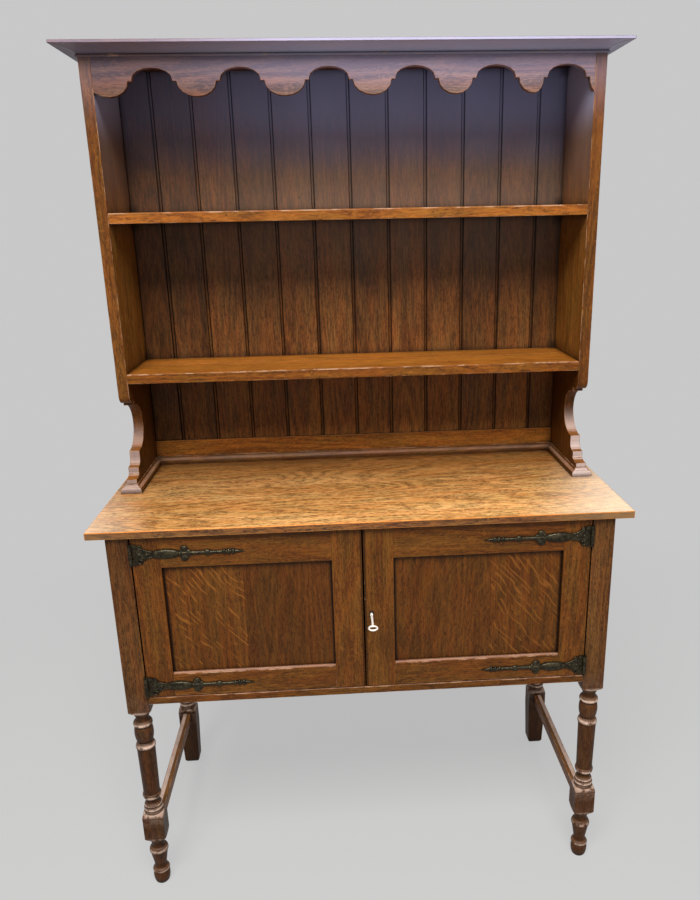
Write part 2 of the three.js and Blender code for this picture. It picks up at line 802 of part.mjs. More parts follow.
function makeShelves() {
  place('upper_shelf', alongX(shelfOutline(upperShelfTop), -rackIn, rackIn), oak);
  place('lower_shelf', alongX(shelfOutline(lowerShelfTop), -rackIn, rackIn), oak);
  place('rack_top_board', block(
    -rackIn, rackIn, rackFront + valanceThickness, boardFront, rackSideTop - topBoardThickness, rackSideTop,
  ), oak);
}

// One tongued board; the bead and its quirk run down the left-hand edge
function boardOutline(left, right, beaded, tongued) {
  const back = boardFront + boardThickness;
  const middle = (boardFront + back) / 2;
  const tongue = boardTongue / 2;
  const quirk = left + 2 * boardBeadRadius;
  const bead = [
    ...arc(left + boardBeadRadius, boardFront + boardBeadRadius, boardBeadRadius, boardBeadRadius,
      -180, 0, curveSteps / 2),
    [quirk + boardQuirkWidth, boardFront + boardBeadRadius], [quirk + boardQuirkWidth, boardFront],
  ];
  const tongueEdge = [
    [right, middle - tongue], [right + boardTongue, middle - tongue],
    [right + boardTongue, middle + tongue], [right, middle + tongue],
  ];
  const grooveEdge = [
    [left, middle + tongue + slip], [left + boardTongue + slip, middle + tongue + slip],
    [left + boardTongue + slip, middle - tongue - slip], [left, middle - tongue - slip],
  ];
  return [
    ...(beaded ? bead : [[left, boardFront]]), [right, boardFront],
    ...(tongued ? tongueEdge : []), [right, back], [left, back],
    ...(beaded ? grooveEdge : []),
  ];
}

function makeBoards() {
  const joint = (index) => (index - boardCount / 2) * boardPitch;
  for (let index = 0; index < boardCount; index += 1) {
    const first = index === 0;
    const last = index === boardCount - 1;
    const left = first ? -rackIn : joint(index) + slip / 2;
    const right = last ? rackIn : joint(index + 1) - slip / 2;
    place(`back_board_${index + 1}`, alongZ(
      boardOutline(left, right, !first, !last), counterHeight + backRailHeight, rackSideTop,
    ), boardOak);
  }
  const railFace = boardFront - backRailProud;
  place('back_rail', block(
    -rackIn, rackIn, railFace, railFace + backRailThickness, counterHeight, counterHeight + backRailHeight,
  ), oak);
}

// Moulding swept along a path of corners; its profile is [reach, height] and it grows to the
// right of the path. Each end is square (0) or mitred forward (1) or back (-1).
function moulding(profile, path, level, startMitre, endMitre) {
  const corners = path.map(([x, y]) => new THREE.Vector2(x, y));
  const runs = corners.slice(1).map((corner, index) => corner.clone().sub(corners[index]).normalize());
  const outward = runs.map((run) => new THREE.Vector2(run.y, -run.x));
  const mitres = corners.map((corner, index) => {
    if (index === 0) return outward[0].clone().addScaledVector(runs[0], startMitre);
    const before = outward[index - 1];
    if (index === corners.length - 1) return before.clone().addScaledVector(runs.at(-1), endMitre);
    const sum = before.clone().add(outward[index]);
    return sum.divideScalar(1 + before.dot(outward[index]));
  });
  const vertices = corners.flatMap((corner, index) => profile.flatMap(([reach, height]) => [
    corner.x + reach * mitres[index].x, corner.y + reach * mitres[index].y, level + height,
  ]));
  const count = profile.length;
  const triangles = [];
  for (let ring = 0; ring < corners.length - 1; ring += 1) {
    for (let point = 0; point < count; point += 1) {
      const next = (point + 1) % count;
      const [a, b] = [ring * count + point, ring * count + next];
      triangles.push(a, a + count, b + count, a, b + count, b);
    }
  }
  const caps = THREE.ShapeUtils.triangulateShape(profile.map(([a, b]) => new THREE.Vector2(a, b)), []);
  const last = (corners.length - 1) * count;
  for (const [a, b, c] of caps) {
    triangles.push(a, b, c, last + c, last + b, last + a);
  }
  const geometry = new THREE.BufferGeometry();
  geometry.setAttribute('position', new THREE.Float32BufferAttribute(vertices, 3));
  geometry.setIndex(triangles);
  geometry.computeVertexNormals();
  return geometry;
}

// Points of a smooth curve pulled towards its control points
function bend(points, steps) {
  const vectors = points.map(([a, b]) => new THREE.Vector2(a, b));
  const curve = vectors.length === 3
    ? new THREE.QuadraticBezierCurve(...vectors) : new THREE.CubicBezierCurve(...vectors);
  return curve.getPoints(steps).map((point) => [point.x, point.y]);
}

function footMouldProfile() {
  const [reach, height] = [footMouldReach, footMouldHeight];
  const fillet = height * footMouldFilletShare;
  return [
    [0, 0], [reach, 0],
    ...bend([[reach, fillet], [reach, height * ogeeHighShare], [reach * ogeeInShare, height * ogeeLowShare],
      [reach * ogeeInShare, height]], curveSteps),
    [0, height],
  ];
}

function makeFootMouldings() {
  const profile = footMouldProfile();
  const toe = rackFront - footReach;
  const railFace = boardFront - backRailProud;
  const stop = railFace - mitreGap;
  const leftPath = [[-rackOut, rackBack], [-rackOut, toe], [-rackIn, toe], [-rackIn, stop]];
  const rightPath = [[rackIn, stop], [rackIn, toe], [rackOut, toe], [rackOut, rackBack]];
  const backPath = [[-rackIn + mitreGap, railFace], [rackIn - mitreGap, railFace]];
  place('foot_moulding_left', moulding(profile, leftPath, counterHeight, 0, -1), oak);
  place('foot_moulding_right', moulding(profile, rightPath, counterHeight, 1, 0), oak);
  place('foot_moulding_back', moulding(profile, backPath, counterHeight, 1, -1), oak);
}

// Scalloped valance: arches between rounded pendants, with a small nib where they meet
function makeValance() {
  const valancePendantLevel = rackSideTop - valancePendantDrop;
  const valanceNibLevel = rackSideTop - valanceNibDrop;
  const run = 2 * rackIn - valanceStart + valanceEndRun;
  const drop = valanceNibLevel - valancePendantLevel;
  const archFoot = valanceNibLevel + valanceNibRise;
  const outline = [];
  let pendant = -rackIn + valanceStart;
  archShares.forEach((share, index) => {
    const pitch = share / archShares.reduce((sum, next) => sum + next) * run;
    const centre = pendant + pitch / 2;
    const lobe = (pitch - archWidth) / 2 - valanceNib;
    const from = index === 0 ? 180 : 270;
    const steps = curveSteps * (360 - from) / 180;
    outline.push(...arc(pendant, valanceNibLevel, lobe, drop, from, 360, steps));
    outline.push([centre - archWidth / 2, valanceNibLevel]);
    outline.push(...arc(centre, archFoot, archWidth / 2, valanceArchRise - valanceNibRise, 180, 0, curveSteps));
    outline.push([centre + archWidth / 2, valanceNibLevel]);
    pendant += pitch;
    outline.push(...arc(pendant, valanceNibLevel, lobe, drop, 180, 270, curveSteps / 2));
  });
  const end = outline.at(-1)[0] + overrun;
  const start = outline[0][0];
  outline.push([end, valancePendantLevel], [end, rackSideTop], [start, rackSideTop]);
  const long = alongY(outline, rackFront, rackFront + valanceThickness);
  const between = block(
    -rackIn, rackIn, rackFront - overrun, rackFront + valanceThickness + overrun,
    valancePendantLevel - overrun, rackSideTop + overrun,
  );
  place('valance', common(long, between), oak);
}

// Cornice: a bead, a shallow cove and a square fillet
function corniceProfile() {
  const bead = corniceBeadHeight / 2;
  const coveTop = corniceHeight - corniceFilletHeight;
  return [
    ...arc(bead / 2, bead, bead, bead, -90, 90, curveSteps / 2),
    ...bend([[bead, corniceBeadHeight + coveStep], [corniceReach * covePullShare, coveTop],
      [corniceReach, coveTop]], curveSteps),
    [corniceReach, corniceHeight], [0, corniceHeight], [0, 0],
  ];
}

function makeCornice() {
  const profile = corniceProfile();
  const level = rackSideTop + corniceRise - corniceHeight;
  const left = [[-rackOut, rackBack], [-rackOut, rackFront + mitreGap]];
  const across = [[-rackOut + mitreGap, rackFront], [rackOut - mitreGap, rackFront]];
  const right = [[rackOut, rackFront + mitreGap], [rackOut, rackBack]];
  place('cornice_left', moulding(profile, left, level, 0, 1), oak);
  place('cornice_front', moulding(profile, across, level, -1, 1), oak);
  place('cornice_right', moulding(profile, right, level, -1, 0), oak);
}

makeLegs();
makeCarcase();
for (const [side, label] of [[-1, 'left'], [1, 'right']]) {
  makeDoor(side, label);
  makeHinges(side, label);
}
makeLock();
makeDoorBolt();
makeRackSides();
makeShelves();
makeBoards();
makeFootMouldings();
makeValance();
makeCornice();

export default dresser;
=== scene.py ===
"""Welsh dresser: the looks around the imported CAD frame. Metres, +X right, +Y back, +Z up."""
import json
import math

import bmesh
import bpy
from mathutils import Matrix, Vector


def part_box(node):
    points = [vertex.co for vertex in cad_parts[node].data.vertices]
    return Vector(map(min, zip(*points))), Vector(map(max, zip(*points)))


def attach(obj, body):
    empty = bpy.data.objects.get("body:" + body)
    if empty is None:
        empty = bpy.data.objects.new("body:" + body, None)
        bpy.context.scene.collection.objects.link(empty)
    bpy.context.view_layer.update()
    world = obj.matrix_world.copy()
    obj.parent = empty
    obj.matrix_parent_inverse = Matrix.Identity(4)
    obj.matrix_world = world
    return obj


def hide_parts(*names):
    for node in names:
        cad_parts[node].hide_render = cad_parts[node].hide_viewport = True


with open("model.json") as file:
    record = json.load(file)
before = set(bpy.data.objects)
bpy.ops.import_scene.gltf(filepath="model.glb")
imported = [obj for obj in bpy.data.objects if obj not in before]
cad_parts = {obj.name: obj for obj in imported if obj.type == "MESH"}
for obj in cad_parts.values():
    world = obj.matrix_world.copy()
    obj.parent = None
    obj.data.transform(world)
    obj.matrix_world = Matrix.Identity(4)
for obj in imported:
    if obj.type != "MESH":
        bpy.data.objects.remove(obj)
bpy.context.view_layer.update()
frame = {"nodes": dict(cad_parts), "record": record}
nodes = frame["nodes"]
record = frame["record"]


# Camera, set at the photograph's viewpoint
PHOTO_W = 700
PHOTO_H = 900
FOCAL_PX = 788.57
CENTRE_PX = (381.86, 470.17)
EYE = (-0.05045, -1.74720, 1.50748)
YAW = -0.05799
PITCH = -0.30664
ROLL = -0.01993
SENSOR_MM = 24.0


def make_camera():
    data = bpy.data.cameras.new("photo_camera")
    data.sensor_fit = "VERTICAL"
    data.sensor_height = SENSOR_MM
    data.sensor_width = SENSOR_MM * PHOTO_W / PHOTO_H
    data.lens = SENSOR_MM * FOCAL_PX / PHOTO_H
    data.shift_x = (PHOTO_W / 2 - CENTRE_PX[0]) / PHOTO_H
    data.shift_y = (CENTRE_PX[1] - PHOTO_H / 2) / PHOTO_H
    data.clip_end = 60.0
    camera = bpy.data.objects.new("photo_camera", data)
    bpy.context.scene.collection.objects.link(camera)
    flat = math.cos(PITCH)
    forward = Vector((-math.sin(YAW) * flat, math.cos(YAW) * flat, math.sin(PITCH)))
    level = Vector((math.cos(YAW), math.sin(YAW), 0.0))
    above = level.cross(forward)
    right = math.cos(ROLL) * level + math.sin(ROLL) * above
    up = -math.sin(ROLL) * level + math.cos(ROLL) * above
    turn = Matrix((right, up, -forward)).transposed().to_4x4()
    camera.matrix_world = Matrix.Translation(EYE) @ turn
    bpy.context.scene.camera = camera


make_camera()


# Colours and node helpers
BACKGROUND = (0.578, 0.578, 0.578, 1.0)
SAME = (1.0, 1.0, 1.0)


def srgb(red, green, blue):
    """A colour in a picture's numbers, as the linear one that shaders take."""
    def linear(value):
        value /= 255.0
        return value / 12.92 if value <= 0.04045 else ((value + 0.055) / 1.055) ** 2.4
    return (linear(red), linear(green), linear(blue), 1.0)


def shade_of(color, factor):
    """A colour made lighter or darker, with no channel past white."""
    return [min(1.0, value * factor) for value in color[:3]] + [1.0]


class Tree:
    """Short names for building a material's nodes."""

    def __init__(self, name):
        self.material = bpy.data.materials.new(name)
        self.material.use_nodes = True
        self.tree = self.material.node_tree
        self.tree.nodes.clear()
        self.out = self.tree.nodes.new("ShaderNodeOutputMaterial")
        self.coords = self.node("ShaderNodeTexCoord").outputs["Object"]

    def node(self, kind, **settings):
        made = self.tree.nodes.new(kind)
        for key, value in settings.items():
            setattr(made, key, value)
        return made

    def link(self, source, target):
        self.tree.links.new(source, target)

    def put(self, value, socket):
        if isinstance(value, bpy.types.NodeSocket):
            self.link(value, socket)
        else:
            socket.default_value = value

    def math(self, operation, first, second=0.0):
        made = self.node("ShaderNodeMath", operation=operation)
        self.put(first, made.inputs[0])
        self.put(second, made.inputs[1])
        return made.outputs[0]

    def product(self, first, *others):
        for other in others:
            first = self.math("MULTIPLY", first, other)
        return first

    def split(self, vector):
        """The X, Y and Z of a vector."""
        made = self.node("ShaderNodeSeparateXYZ")
        self.link(vector, made.inputs[0])
        return made.outputs

    def mapping(self, vector, scale=(1, 1, 1), location=(0, 0, 0), rotation=(0, 0, 0)):
        made = self.node("ShaderNodeMapping")
        self.link(vector, made.inputs["Vector"])
        made.inputs["Location"].default_value = location
        made.inputs["Rotation"].default_value = rotation
        made.inputs["Scale"].default_value = scale
        return made.outputs["Vector"]

    def noise(self, vector, scale=1.0, detail=2.0, rough=0.5, distortion=0.0):
        made = self.node("ShaderNodeTexNoise")
        self.link(vector, made.inputs["Vector"])
        made.inputs["Scale"].default_value = scale
        made.inputs["Detail"].default_value = detail
        made.inputs["Roughness"].default_value = rough
        made.inputs["Distortion"].default_value = distortion
        return made.outputs["Fac"]

    def step(self, value, low, high, out_low=0.0, out_high=1.0):
        """A smooth step from out_low to out_high, as the value runs from low to high."""
        made = self.node("ShaderNodeMapRange", interpolation_type="SMOOTHSTEP")
        self.link(value, made.inputs["Value"])
        made.inputs["From Min"].default_value = low
        made.inputs["From Max"].default_value = high
        made.inputs["To Min"].default_value = out_low
        made.inputs["To Max"].default_value = out_high
        return made.outputs["Result"]

    def mix(self, factor, first, second, blend="MIX"):
        made = self.node("ShaderNodeMix", data_type="RGBA", blend_type=blend)
        self.put(factor, made.inputs[0])
        self.put(first, made.inputs[6])
        self.put(second, made.inputs[7])
        return made.outputs[2]

    def tint(self, color, factors):
        return self.mix(1.0, color, (*factors, 1.0), "MULTIPLY")

    def bump(self, height, distance, strength):
        made = self.node("ShaderNodeBump")
        self.link(height, made.inputs["Height"])
        made.inputs["Distance"].default_value = distance
        made.inputs["Strength"].default_value = strength
        return made.outputs["Normal"]

    def shader(self, color, roughness, normal, metallic=0.0, specular=0.5):
        made = self.node("ShaderNodeBsdfPrincipled")
        self.put(color, made.inputs["Base Color"])
        self.put(roughness, made.inputs["Roughness"])
        made.inputs["Metallic"].default_value = metallic
        made.inputs["Specular IOR Level"].default_value = specular
        self.link(normal, made.inputs["Normal"])
        self.link(made.outputs["BSDF"], self.out.inputs["Surface"])


# Oak
GRAIN_TURN = {
    "x": (0.0, 0.0, 0.0),
    "y": (0.0, 0.0, math.radians(-90)),
    "z": (0.0, math.radians(90), 0.0),
}
COOLER = (0.96, 1.02, 1.04)
WARMER = (1.08, 0.96, 0.90)
GLARE_TONE = srgb(230, 210, 186)
SHEEN = srgb(206, 188, 184)
BARE_WOOD = srgb(158, 122, 96)
RUBBED_WOOD = srgb(200, 172, 154)
RIBBON_SPACING = 0.0125
PORE_DEPTH = 0.00022
CORNER_REACH = 0.026

# Painted haze of reflected sky light over the upper parts: (height where it starts, height where it is full,
# strength, colour)
CORNICE_HAZES = [(1.60, 1.84, 0.80, srgb(164, 164, 192))]
VALANCE_HAZES = [(1.74, 1.84, 0.58, srgb(130, 126, 156))]
LEFT_SIDE_HAZES = [(1.68, 1.84, 0.60, srgb(134, 126, 146))]
RIGHT_SIDE_HAZES = [(1.68, 1.84, 0.36, srgb(134, 126, 146))]
INNER_HAZES = [(1.45, 1.66, 0.62, srgb(104, 88, 84)), (1.66, 1.80, 0.80, srgb(164, 170, 206))]
BOARD_HAZES = [(1.30, 1.56, 0.40, srgb(104, 94, 88)), (1.60, 1.80, 0.85, srgb(134, 142, 186))]


class Wood(Tree):
    """Oak built up in layers: color is the colour so far, and each method lays one thing over it."""

    def __init__(self, name, axis, seed, tones):
        super().__init__(name)
        self.axis = axis
        self.seed = seed
        self.dark, self.middle, self.light = tones
        self.color = self.middle
        self.place = self.split(self.coords)
        self.facing = self.split(self.node("ShaderNodeNewGeometry").outputs["Normal"])
        self.grain = self.mapping(self.coords, rotation=GRAIN_TURN[axis],
                                  location=(seed * 1.37, seed * 0.71, seed * 2.13))

    def fibres(self, along, across, detail=3.0, rough=0.6, distortion=0.0):
        """Noise drawn out along the grain; along and across say how often it repeats in a metre."""
        vector = self.mapping(self.grain, scale=(along, across, across))
        return self.noise(vector, 1.0, detail, rough, distortion)

    def blotches(self, size, rough=0.6):
        """Noise that is the same all ways and repeats size times in a metre."""
        return self.noise(self.mapping(self.coords, scale=(size, size, size)), 1.0, 3.0, rough)

    def lay(self, tone, value, low, high, strength):
        """Lays a tone over the colour, as a value runs from low to high."""
        self.color = self.mix(self.step(value, low, high, 0.0, strength), self.color, tone)

    def grow(self, rings, pores, streak_size, speckle):
        """Growth rings, streaks, open pores and a drift in warmth; gives the height and the slow field."""
        ring_along, ring_across, ring_count, ring_strength = rings
        pore_along, pore_across, fewness, crowding = pores
        # rings are contours of a slow field; pores are short dark strokes, crowded in the early wood
        field = self.fibres(ring_along, ring_across, 2.0, 0.5, 0.2)
        bands = self.step(self.math("SINE", self.product(field, ring_count)), -0.9, 0.95)
        slow = self.fibres(2.2, 16.0, rough=0.55)
        streaks = self.fibres(*streak_size)
        strokes = self.fibres(pore_along, pore_across, 2.0, 0.65)
        crowded = self.math("ADD", strokes, self.product(bands, crowding))
        open_pores = self.step(crowded, fewness, fewness + 0.13)
        self.color = self.mix(self.product(bands, ring_strength), self.middle, self.dark)
        self.lay(self.light, slow, 0.40, 0.66, 0.45)
        self.lay(self.dark, streaks, 0.44, 0.62, 0.42 * speckle)
        self.lay(self.light, streaks, 0.50, 0.34, 0.32 * speckle)
        filled = self.product(open_pores, min(0.95, 0.55 * speckle))
        self.color = self.mix(filled, self.color, shade_of(self.dark, 0.35))
        warmth = self.step(self.fibres(7.0, 42.0), 0.40, 0.60)
        self.color = self.mix(warmth, self.tint(self.color, COOLER), self.tint(self.color, WARMER))
        return self.math("SUBTRACT", self.product(streaks, 0.5), open_pores), slow

    def silver_figure(self, tilt):
        """Ray fleck: thin silky ribbons at a slant across a quarter-sawn face in the XZ plane."""
        start = self.seed + tilt * 0.01
        along = self.mapping(self.coords, rotation=(0.0, math.radians(tilt), 0.0),
                             location=(start, 0.0, start * 0.3))
        sway = self.noise(self.mapping(along, scale=(9.0, 9.0, 22.0)), 1.0, 2.0, 0.5)
        rise = self.product(self.split(along)["Z"], 2 * math.pi / RIBBON_SPACING)
        lines = self.step(self.math("SINE", self.math("ADD", rise, self.product(sway, 26.0))), 0.50, 0.98)
        gaps = self.noise(self.mapping(along, scale=(17.0, 17.0, 80.0)), 1.0, 2.0, 0.6)
        return self.product(lines, self.step(gaps, 0.46, 0.57))

    def join_boards(self, boards):
        """A face joined from boards; each is (x of its right edge, tone, fleck strength, fleck slant)."""
        plain = self.color
        edge = None
        for end, tone, strength, tilt in boards:
            board = self.mix(self.product(self.silver_figure(tilt), strength),
                             self.tint(plain, (tone, tone, tone * 0.97)), shade_of(self.light, 1.55))
            if edge is None:
                self.color = board
            else:
                beyond = self.step(self.place["X"], edge - 0.0002, edge + 0.0002)
                self.color = self.mix(beyond, self.color, board)
                seam = self.math("ABSOLUTE", self.math("SUBTRACT", self.place["X"], edge))
                self.lay(shade_of(self.dark, 0.5), seam, 0.0009, 0.0003, 0.6)
            edge = end

    def fleck(self, strength):
        """Short pale ribbons at a slant to the grain."""
        slant = math.radians(24)
        tilted = self.mapping(self.grain, rotation=(0.0, slant, slant))
        ribbons = self.noise(self.mapping(tilted, scale=(60.0, 190.0, 190.0)), 1.0, 1.0, 0.5, 0.6)
        gaps = self.noise(self.mapping(tilted, scale=(25.0, 40.0, 40.0)), 1.0, 1.0, 0.5)
        flecks = self.product(self.step(ribbons, 0.56, 0.64), self.step(gaps, 0.48, 0.60), strength)
        self.color = self.mix(flecks, self.color, shade_of(self.light, 1.35))

    def change_tone(self, way, start, end, tone_start, tone_end):
        """A change of tone along X, Y or Z."""
        here = self.step(self.place[way], start, end)
        self.color = self.mix(here, self.tint(self.color, tone_start), self.tint(self.color, tone_end))

    def end_glare(self, start, end, strength):
        """Painted glare: a top pales towards its ends, from further in at the front."""
        out = self.math("ABSOLUTE", self.math("ADD", self.place["X"], 0.06))
        out = self.math("SUBTRACT", out, self.product(self.place["Y"], 0.45))
        self.lay(GLARE_TONE, out, start, end, strength)

    def light_inside(self, way, below, above):
        """The inner face of a rack side: painted shade below the lower shelf, painted light above it, and its
        painted hazes.
        """
        outside = self.color
        looks_in = self.step(self.product(self.facing["X"], way), 0.6, 0.9)
        tone = self.mix(self.step(self.place["Z"], 1.14, 1.24), (*below, 1.0), (*above, 1.0))
        self.color = self.mix(1.0, outside, tone, "MULTIPLY")
        for start, full, strength, haze_tone in INNER_HAZES:
            self.lay(haze_tone, self.place["Z"], start, full, strength)
        self.color = self.mix(looks_in, outside, self.color)

    def paint_meeting_shade(self, x, side):
        """Painted shade of the gap down the edge where the two doors meet."""
        away = self.product(self.math("SUBTRACT", self.place["X"], x), side)
        self.lay(shade_of(self.dark, 0.12), away, 0.0075, 0.0030, 0.9)

    def paint_keyhole_shade(self, x, z):
        """Painted shade of the key and keyhole on the door, in an upright oval."""
        wide = self.product(self.math("SUBTRACT", self.place["X"], x), 1.3)
        tall = self.product(self.math("SUBTRACT", self.place["Z"], z), 0.8)
        squares = self.math("ADD", self.product(wide, wide), self.product(tall, tall))
        self.lay(shade_of(self.dark, 0.10), self.math("SQRT", squares), 0.0105, 0.0045, 0.9)

    def paint_opening_shade(self, left, right, top):
        """Painted shade in the recess along the left, right and top of the frame that a panel shows through.
        """
        near = self.math("MINIMUM", self.math("SUBTRACT", self.place["X"], left),
                         self.math("SUBTRACT", right, self.place["X"]))
        near = self.math("MINIMUM", near, self.math("SUBTRACT", top, self.place["Z"]))
        self.lay(shade_of(self.dark, 0.10), near, 0.0085, 0.0015, 0.92)

    def fade(self, strength, tone, outside, side_shade):
        """Painted light on faces that look up, in blotches, from outside on if it is given; the last setting
        is a painted shade tone for the other faces.
        """
        looks_up = self.step(self.facing["Z"], 0.45, 0.9)
        lit_cover = self.product(looks_up, self.step(self.blotches(24.0), 0.2, 0.7, 0.6 * strength, strength))
        if outside:
            out = self.math("ABSOLUTE", self.place["X"])
            lit_cover = self.product(lit_cover, self.step(out, outside - 0.001, outside + 0.001))
        pale = self.mix(0.45, self.tint(self.color, (2.3, 2.3, 2.2)), tone or shade_of(self.light, 1.9))
        self.color = self.mix(lit_cover, self.color, pale)
        if side_shade < 1.0:
            shaded = self.tint(self.color, (side_shade, side_shade ** 1.26, side_shade ** 1.74))
            self.color = self.mix(looks_up, shaded, self.color)

    def paint_sky_haze(self, start, full, strength, tone):
        """Painted haze of reflected sky light, strongest right of the middle and absent behind."""
        cover = self.product(self.step(self.place["Z"], start, full, 0.0, strength),
                             self.step(self.place["X"], -0.48, -0.02, 0.34, 1.0),
                             self.step(self.place["X"], 0.32, 0.56, 1.0, 0.88),
                             self.step(self.facing["Y"], 0.8, 0.3))
        self.color = self.mix(cover, self.color, tone)

    def shine(self, strength):
        """Front edges low on the rack that catch the light."""
        cover = self.product(self.step(self.facing["Y"], -0.2, -0.6),
                             self.step(self.place["Z"], 1.07, 0.98), strength)
        self.color = self.mix(cover, self.color, SHEEN)

    def wear(self, amount, reach):
        """Patches of bare wood, none on the ends of pieces along X and none behind reach if it is given."""
        bare = self.step(self.fibres(30.0, 70.0), 0.66 - 0.35 * amount, 0.78 - 0.25 * amount, 0.0, 0.8)
        if self.axis == "x":
            ends = self.math("ABSOLUTE", self.facing["X"])
            bare = self.product(bare, self.step(ends, 0.5, 0.2))
        if reach:
            bare = self.product(bare, self.step(self.place["Y"], reach, reach - 0.002))
        self.color = self.mix(bare, self.color, BARE_WOOD)

    def rub(self, attribute):
        """Bare wood in patches where the mesh's attribute says so, with less of it near the floor."""
        rubbed = self.node("ShaderNodeAttribute", attribute_name=attribute).outputs["Fac"]
        patches = self.step(self.blotches(60.0, 0.65), 0.34, 0.58)
        level = self.step(self.place["Z"], 0.12, 0.20, 0.55, 1.0)
        self.color = self.mix(self.product(rubbed, patches, level, 0.90), self.color, RUBBED_WOOD)

    def soil_and_shade(self, strength):
        """Dirt and painted shade in the corners and under overhangs, found by ambient occlusion."""
        corner = self.node("ShaderNodeAmbientOcclusion", samples=4)
        corner.inputs["Distance"].default_value = CORNER_REACH
        self.lay(shade_of(self.dark, 0.16), corner.outputs["AO"], 0.84, 0.40, 0.88 * strength)


def oak(name, axis, seed, tones, rings=(0.7, 6.5, 150.0, 0.42), pores=(95.0, 560.0, 0.53, 0.05),
        streak_size=(28.0, 320.0), speckle=1.0, boards=None, fleck=0.0, tone_runs=(), end_glare=None,
        inner=None, meeting=None, keyhole=None, opening=None, light_above=0.35, light_above_tone=None, pale_from=None,
        side_shade=1.0, hazes=(), sheen=0.0, worn=0.0, worn_to=None, rubbed=None, grime_and_shade=1.0, gloss=0.46,
        specular=0.14):
    """Oak with its grain along one axis, in a dark, a middle and a light tone.

    rings is (how often the figure repeats in a metre along and across the grain, rings in it, strength).
    pores is (how often they repeat along and across, how few there are, how they crowd in the early wood).
    streak_size is how often streaks repeat along and across, and speckle how strong pores and streaks are.
    The other settings go to the layer that they name, in the order in which the layers lie; gloss is the
    roughness, and specular the strength of reflections.
    """
    wood = Wood(name, axis, seed, tones)
    height, slow = wood.grow(rings, pores, streak_size, speckle)
    if boards:
        wood.join_boards(boards)
    elif fleck > 0.0:
        wood.fleck(fleck)
    for tone_run in tone_runs:
        wood.change_tone(*tone_run)
    if end_glare:
        wood.end_glare(*end_glare)
    if inner:
        wood.light_inside(*inner)
    if meeting:
        wood.paint_meeting_shade(*meeting)
    if keyhole:
        wood.paint_keyhole_shade(*keyhole)
    if opening:
        wood.paint_opening_shade(*opening)
    if light_above > 0.0:
        wood.fade(light_above, light_above_tone, pale_from, side_shade)
    for haze in hazes:
        wood.paint_sky_haze(*haze)
    if sheen > 0.0:
        wood.shine(sheen)
    if worn > 0.0:
        wood.wear(worn, worn_to)
    if rubbed:
        wood.rub(rubbed)
    wood.soil_and_shade(grime_and_shade)
    rough = wood.step(slow, 0.3, 0.7, gloss - 0.06, gloss + 0.08)
    wood.shader(wood.color, rough, wood.bump(height, PORE_DEPTH, 0.45), specular=specular)
    return wood.material


# Iron and steel
def iron(name, seed):
    t = Tree(name)
    place = t.mapping(t.coords, location=(seed, seed * 0.5, seed * 0.25))
    patina = t.noise(place, 120.0, 4.0, 0.6)
    hammered = t.noise(place, 420.0, 2.0, 0.5)
    color = t.mix(t.step(patina, 0.38, 0.66), srgb(30, 26, 17), srgb(62, 55, 37))
    color = t.mix(t.step(hammered, 0.58, 0.74, 0.0, 0.5), color, srgb(112, 103, 74))
    rough = t.step(patina, 0.3, 0.7, 0.30, 0.48)
    t.shader(color, rough, t.bump(hammered, 0.0003, 0.4), metallic=0.75)
    return t.material


def steel(name):
    t = Tree(name)
    worn = t.noise(t.coords, 300.0, 3.0, 0.6)
    brush = t.noise(t.mapping(t.coords, scale=(900.0, 60.0, 900.0)), 1.0, 2.0, 0.6)
    color = t.mix(t.step(worn, 0.45, 0.7), srgb(246, 242, 234), srgb(206, 198, 186))
    rough = t.step(brush, 0.3, 0.7, 0.30, 0.44)
    t.shader(color, rough, t.bump(brush, 0.00008, 0.4), metallic=0.35)
    return t.material


# What each piece is dressed in
TONES = {
    "oak": (srgb(56, 28, 5), srgb(91, 52, 12), srgb(114, 70, 22)),
    "top_oak": (srgb(86, 43, 12), srgb(160, 100, 43), srgb(200, 140, 74)),
    "panel_oak": (srgb(56, 28, 4), srgb(84, 47, 10), srgb(98, 58, 17)),
    "board_oak": (srgb(44, 24, 9), srgb(88, 53, 22), srgb(116, 74, 34)),
    "hazy_oak": (srgb(96, 66, 48), srgb(148, 104, 76), srgb(168, 124, 94)),
    "leg_oak": (srgb(46, 24, 8), srgb(78, 47, 19), srgb(104, 67, 31)),
}
PANEL_BOARDS = {
    "left_door_panel": [(-0.259, 1.10, 0.88, -50.0), (0.5, 0.86, 0.06, -62.0)],
    "right_door_panel": [(0.270, 0.96, 0.14, 58.0), (0.5, 1.06, 0.62, -52.0)],
}
# Pieces that catch more light in the photo than the rest of the oak
BRIGHTER = {"back_rail": 2.0, "upper_shelf": 1.75, "lower_shelf": 1.45, "cornice_front": 1.2}
# Painted light on the faces of these pieces that look up, in a pale tone of their own
LIT_TOP = {"light_above": 0.9, "light_above_tone": srgb(176, 142, 132)}
LIT_TOP_MOULDING = {"light_above": 0.9, "light_above_tone": srgb(152, 130, 118)}
STRETCHER_TOP_LIGHT = shade_of(srgb(255, 218, 208), 1.2)
MEETING_X = -0.006
KEYHOLE = (0.010, 0.697)

# Pieces whose arrises are rubbed to bare wood, and those whose arrises are wider
RUBBED_EDGES = ("bottom_rail", "bottom_board", "cornice", "foot_moulding", "rack_side", "stretcher", "shelf")
WIDE_EDGES = ("bottom_rail", "bottom_board", "shelf", "countertop", "stretcher", "back_board")
WIDE_ARRIS = 0.0018
ARRIS = 0.0009

# Pieces whose grain runs from front to back, and words in the names of those whose grain runs upright
LENGTHWISE = ("foot_moulding_left", "foot_moulding_right", "cornice_left", "cornice_right")
UPRIGHT = ("leg", "stile", "panel", "rack_side", "back_board")

seeds = {name: index + 1 for index, name in enumerate(sorted(nodes))}


def named(name, words):
    return any(word in name for word in words)


